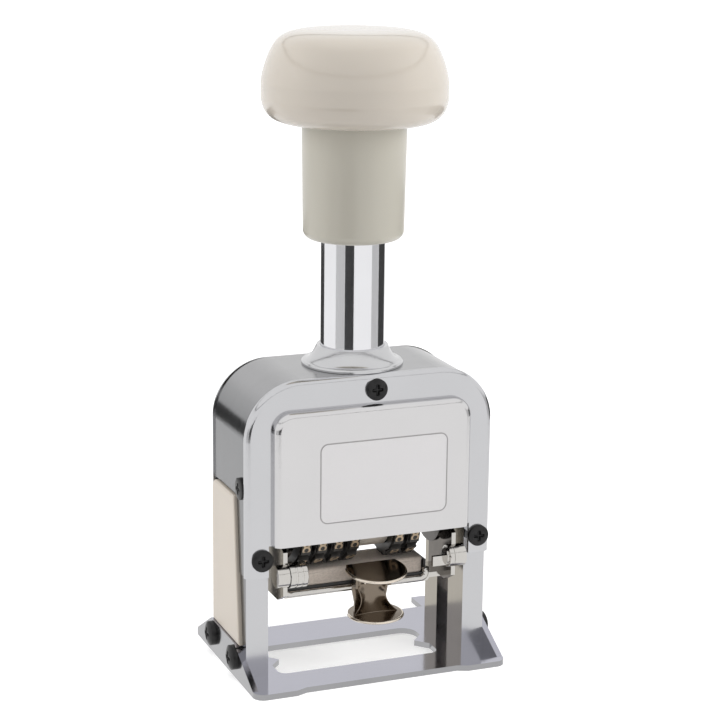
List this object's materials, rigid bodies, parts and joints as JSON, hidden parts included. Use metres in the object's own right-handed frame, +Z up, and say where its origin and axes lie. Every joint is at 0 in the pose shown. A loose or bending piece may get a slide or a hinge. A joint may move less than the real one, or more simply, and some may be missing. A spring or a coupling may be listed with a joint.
{
  "type": "numbering machine",
  "caption": "Hand numbering machine with a mushroom handle on a bright guide tube, an arched metal frame, cream side covers, number wheels and a swinging ink pad.",
  "frame": {"origin": "middle of the base plate's underside, at the centre of the whole part's outline seen from above", "axes": "+Z up along the handle, -Y towards the front cover, +X to the right of someone facing the front cover"},
  "size_m": [0.0772, 0.0544, 0.1735],
  "materials": {
    "polished_steel": "polished",
    "chrome": "mirror",
    "nickel": "satin",
    "plain_steel": "satin",
    "brass": "satin",
    "black_steel": "gloss",
    "cream_plastic": "gloss",
    "dark_plastic": "matte",
    "wheel_metal": "satin",
    "felt": "felt"
  },
  "bodies": {
    "frame": {"base_plate": "polished_steel", "frame_arch": "polished_steel", "front_cover": "polished_steel", "back_cover": "polished_steel", "front_cover_screws": "black_steel", "back_cover_screws": "black_steel", "base_screws": "black_steel", "side_wall_screws": "black_steel", "side_cover_left": "cream_plastic", "side_cover_right": "cream_plastic", "guide_tube": "chrome", "tube_collar": "chrome", "guide_bush": "brass"},
    "plunger": {"knob": "cream_plastic", "grip_sleeve": "cream_plastic", "plunger_rod": "plain_steel", "thrust_ring": "plain_steel", "rod_nut": "plain_steel", "return_spring": "plain_steel", "yoke": "plain_steel", "wheel_shaft": "plain_steel", "shaft_nuts": "nickel", "spacer_drum": "cream_plastic", "detent_comb": "plain_steel"},
    "feed": {"feed_lever": "nickel"},
    "ink_unit": {"ink_arm_left": "nickel", "ink_arm_right": "nickel", "guide_studs": "nickel", "pad_tray": "nickel", "pad_holder": "dark_plastic", "ink_pad": "felt", "lower_finger_tab": "nickel", "clip_pin": "nickel", "clip_spring": "plain_steel"},
    "upper_tab": {"upper_finger_tab": "nickel"},
    "wheel_1": {"number_wheel_1": "wheel_metal"},
    "wheel_2": {"number_wheel_2": "wheel_metal"},
    "wheel_3": {"number_wheel_3": "wheel_metal"},
    "wheel_4": {"number_wheel_4": "wheel_metal"},
    "wheel_5": {"number_wheel_5": "wheel_metal"},
    "wheel_6": {"number_wheel_6": "wheel_metal"}
  },
  "joints": [
    {"name": "plunger_slide", "type": "slide", "parent": "frame", "child": "plunger", "axis": [0, 0, -1], "range_m": [0, 0.029], "stiffness_N_per_m": 600, "springref_m": -0.008, "deforming": ["return_spring"]},
    {"name": "ink_swing", "type": "hinge", "parent": "plunger", "child": "ink_unit", "pos_m": [0, -0.00495, 0.0408], "axis": [1, 0, 0], "range_deg": [0, 145]},
    {"name": "feed_rock", "type": "hinge", "parent": "plunger", "child": "feed", "pos_m": [0, -0.00495, 0.0408], "axis": [1, 0, 0], "range_deg": [-28, 0]},
    {"name": "clip_squeeze", "type": "hinge", "parent": "ink_unit", "child": "upper_tab", "pos_m": [0.0015, -0.01355, 0.0252], "axis": [1, 0, 0], "range_deg": [0, 8], "stiffness_Nm_per_rad": 0.01, "springref_deg": -20.05},
    {"name": "wheel_turn_1", "type": "hinge", "parent": "plunger", "child": "wheel_1", "pos_m": [0, -0.00495, 0.0408], "axis": [1, 0, 0], "continuous": true},
    {"name": "wheel_turn_2", "type": "hinge", "parent": "plunger", "child": "wheel_2", "pos_m": [0, -0.00495, 0.0408], "axis": [1, 0, 0], "continuous": true},
    {"name": "wheel_turn_3", "type": "hinge", "parent": "plunger", "child": "wheel_3", "pos_m": [0, -0.00495, 0.0408], "axis": [1, 0, 0], "continuous": true},
    {"name": "wheel_turn_4", "type": "hinge", "parent": "plunger", "child": "wheel_4", "pos_m": [0, -0.00495, 0.0408], "axis": [1, 0, 0], "continuous": true},
    {"name": "wheel_turn_5", "type": "hinge", "parent": "plunger", "child": "wheel_5", "pos_m": [0, -0.00495, 0.0408], "axis": [1, 0, 0], "continuous": true},
    {"name": "wheel_turn_6", "type": "hinge", "parent": "plunger", "child": "wheel_6", "pos_m": [0, -0.00495, 0.0408], "axis": [1, 0, 0], "continuous": true}
  ],
  "couplings": [
    {"joint": "ink_swing", "follows": "plunger_slide", "rad_per_m": 87.26},
    {"joint": "feed_rock", "follows": "plunger_slide", "rad_per_m": -16.85}
  ]
}
